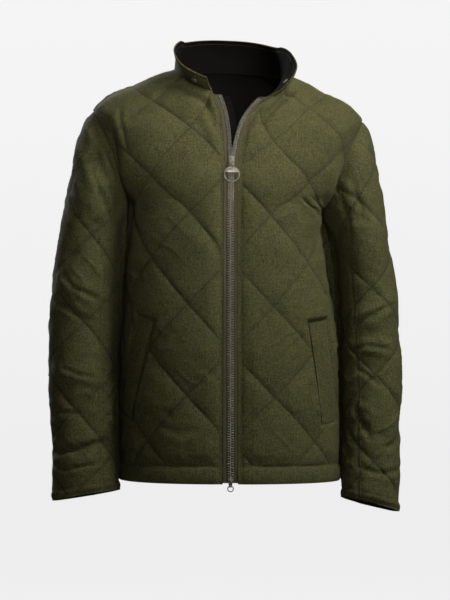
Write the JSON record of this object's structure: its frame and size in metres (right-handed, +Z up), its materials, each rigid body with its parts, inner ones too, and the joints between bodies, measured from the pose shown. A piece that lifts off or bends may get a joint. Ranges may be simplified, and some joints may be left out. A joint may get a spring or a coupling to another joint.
{
  "type": "quilted jacket",
  "caption": "Hip-length diamond-quilted jacket as worn: stand collar open at the neck, two-way front zip with a ring pull, slanted pocket welts and long two-piece sleeves.",
  "frame": {"origin": "middle of the neck's base, level with the top of the shoulders beside the neck, where the jacket is carried when worn", "axes": "+Z up, the front faces -Y, +X to the wearer's left"},
  "size_m": [0.611, 0.3019, 0.8154],
  "materials": {
    "shell": "matt olive woven cloth, quilted",
    "facing": "near-black brown cloth",
    "tape": "woven zip tape",
    "metal": "antique brass, dull"
  },
  "bodies": {
    "jacket": {"front_right": "shell", "front_left": "shell", "back": "shell", "upper_sleeve_right": "shell", "under_sleeve_right": "shell", "upper_sleeve_left": "shell", "under_sleeve_left": "shell", "collar_shell": "shell", "collar_facing": "facing", "storm_flap": "facing", "welt_right": "shell", "welt_left": "shell", "zip_tape_right": "tape", "zip_tape_left": "tape", "zip_teeth_right": "metal", "zip_teeth_left": "metal", "slider_top": "metal", "slider_bottom": "metal", "snap_cap": "metal", "snap_socket": "metal"},
    "top_pull": {"pull_top": "metal"},
    "bottom_pull": {"pull_bottom": "metal"}
  },
  "joints": [
    {"name": "top_pull_hinge", "type": "hinge", "parent": "jacket", "child": "top_pull", "pos_m": [0.00214, -0.14429, -0.15445], "axis": [-1, 0, 0], "range_deg": [0, 150]},
    {"name": "bottom_pull_hinge", "type": "hinge", "parent": "jacket", "child": "bottom_pull", "pos_m": [0, -0.15003, -0.6901], "axis": [-1, 0, 0], "range_deg": [0, 120]}
  ]
}
